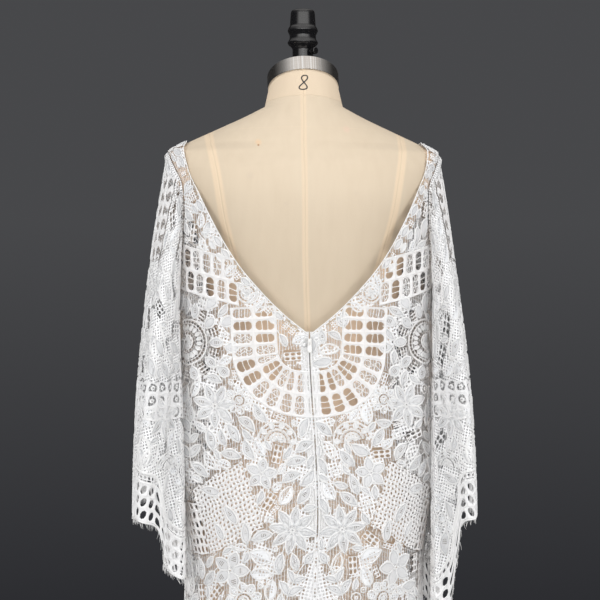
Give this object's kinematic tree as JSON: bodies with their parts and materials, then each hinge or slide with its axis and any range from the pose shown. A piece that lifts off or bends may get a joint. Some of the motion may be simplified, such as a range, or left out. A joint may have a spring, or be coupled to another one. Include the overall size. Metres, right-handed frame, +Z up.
{
  "type": "wedding dress on dress form",
  "caption": "Floor-length white lace wedding gown with a deep V back, wide neckline and bell sleeves, hanging on a limbless linen dress form on a round stand.",
  "frame": {"origin": "middle of the underside of the stand's round base, on the floor", "axes": "+Z up; -Y towards the wearer's front, +Y towards the back with the zip; +X towards the wearer's left"},
  "size_m": [0.6809, 0.6062, 1.5815],
  "materials": {
    "lace": "matt white corded lace on a fine net",
    "linen": "plain cream linen cover, taut",
    "neck_ring_steel": "brushed round the ring",
    "finial_black": "satin black",
    "stand_paint": "dark satin paint",
    "zip": "white nylon"
  },
  "bodies": {
    "form_and_gown": {"torso": "linen", "neck_ring": "neck_ring_steel", "finial": "finial_black", "base": "stand_paint", "pole": "stand_paint", "front": "lace", "back_left": "lace", "back_right": "lace", "sleeve_left": "lace", "sleeve_right": "lace", "sleeve_fringe_left": "lace", "sleeve_fringe_right": "lace", "zip_tape_left": "zip", "zip_tape_right": "zip", "seam_allowance_left": "lace", "seam_allowance_right": "lace", "zip_slider": "zip"},
    "zip_pull": {"zip_pull": "zip"},
    "thumb_screw": {"finial_screw": "finial_black"}
  },
  "joints": [
    {"name": "zip_pull_flip", "type": "hinge", "parent": "form_and_gown", "child": "zip_pull", "pos_m": [0, 0.10007, 1.0987], "axis": [1, 0, 0], "range_deg": [0, 170]},
    {"name": "thumb_screw_turn", "type": "hinge", "parent": "form_and_gown", "child": "thumb_screw", "pos_m": [-0.01286, -0.00268, 1.519], "axis": [-0.6428, 0.766, 0], "range_deg": [0, 270]}
  ]
}
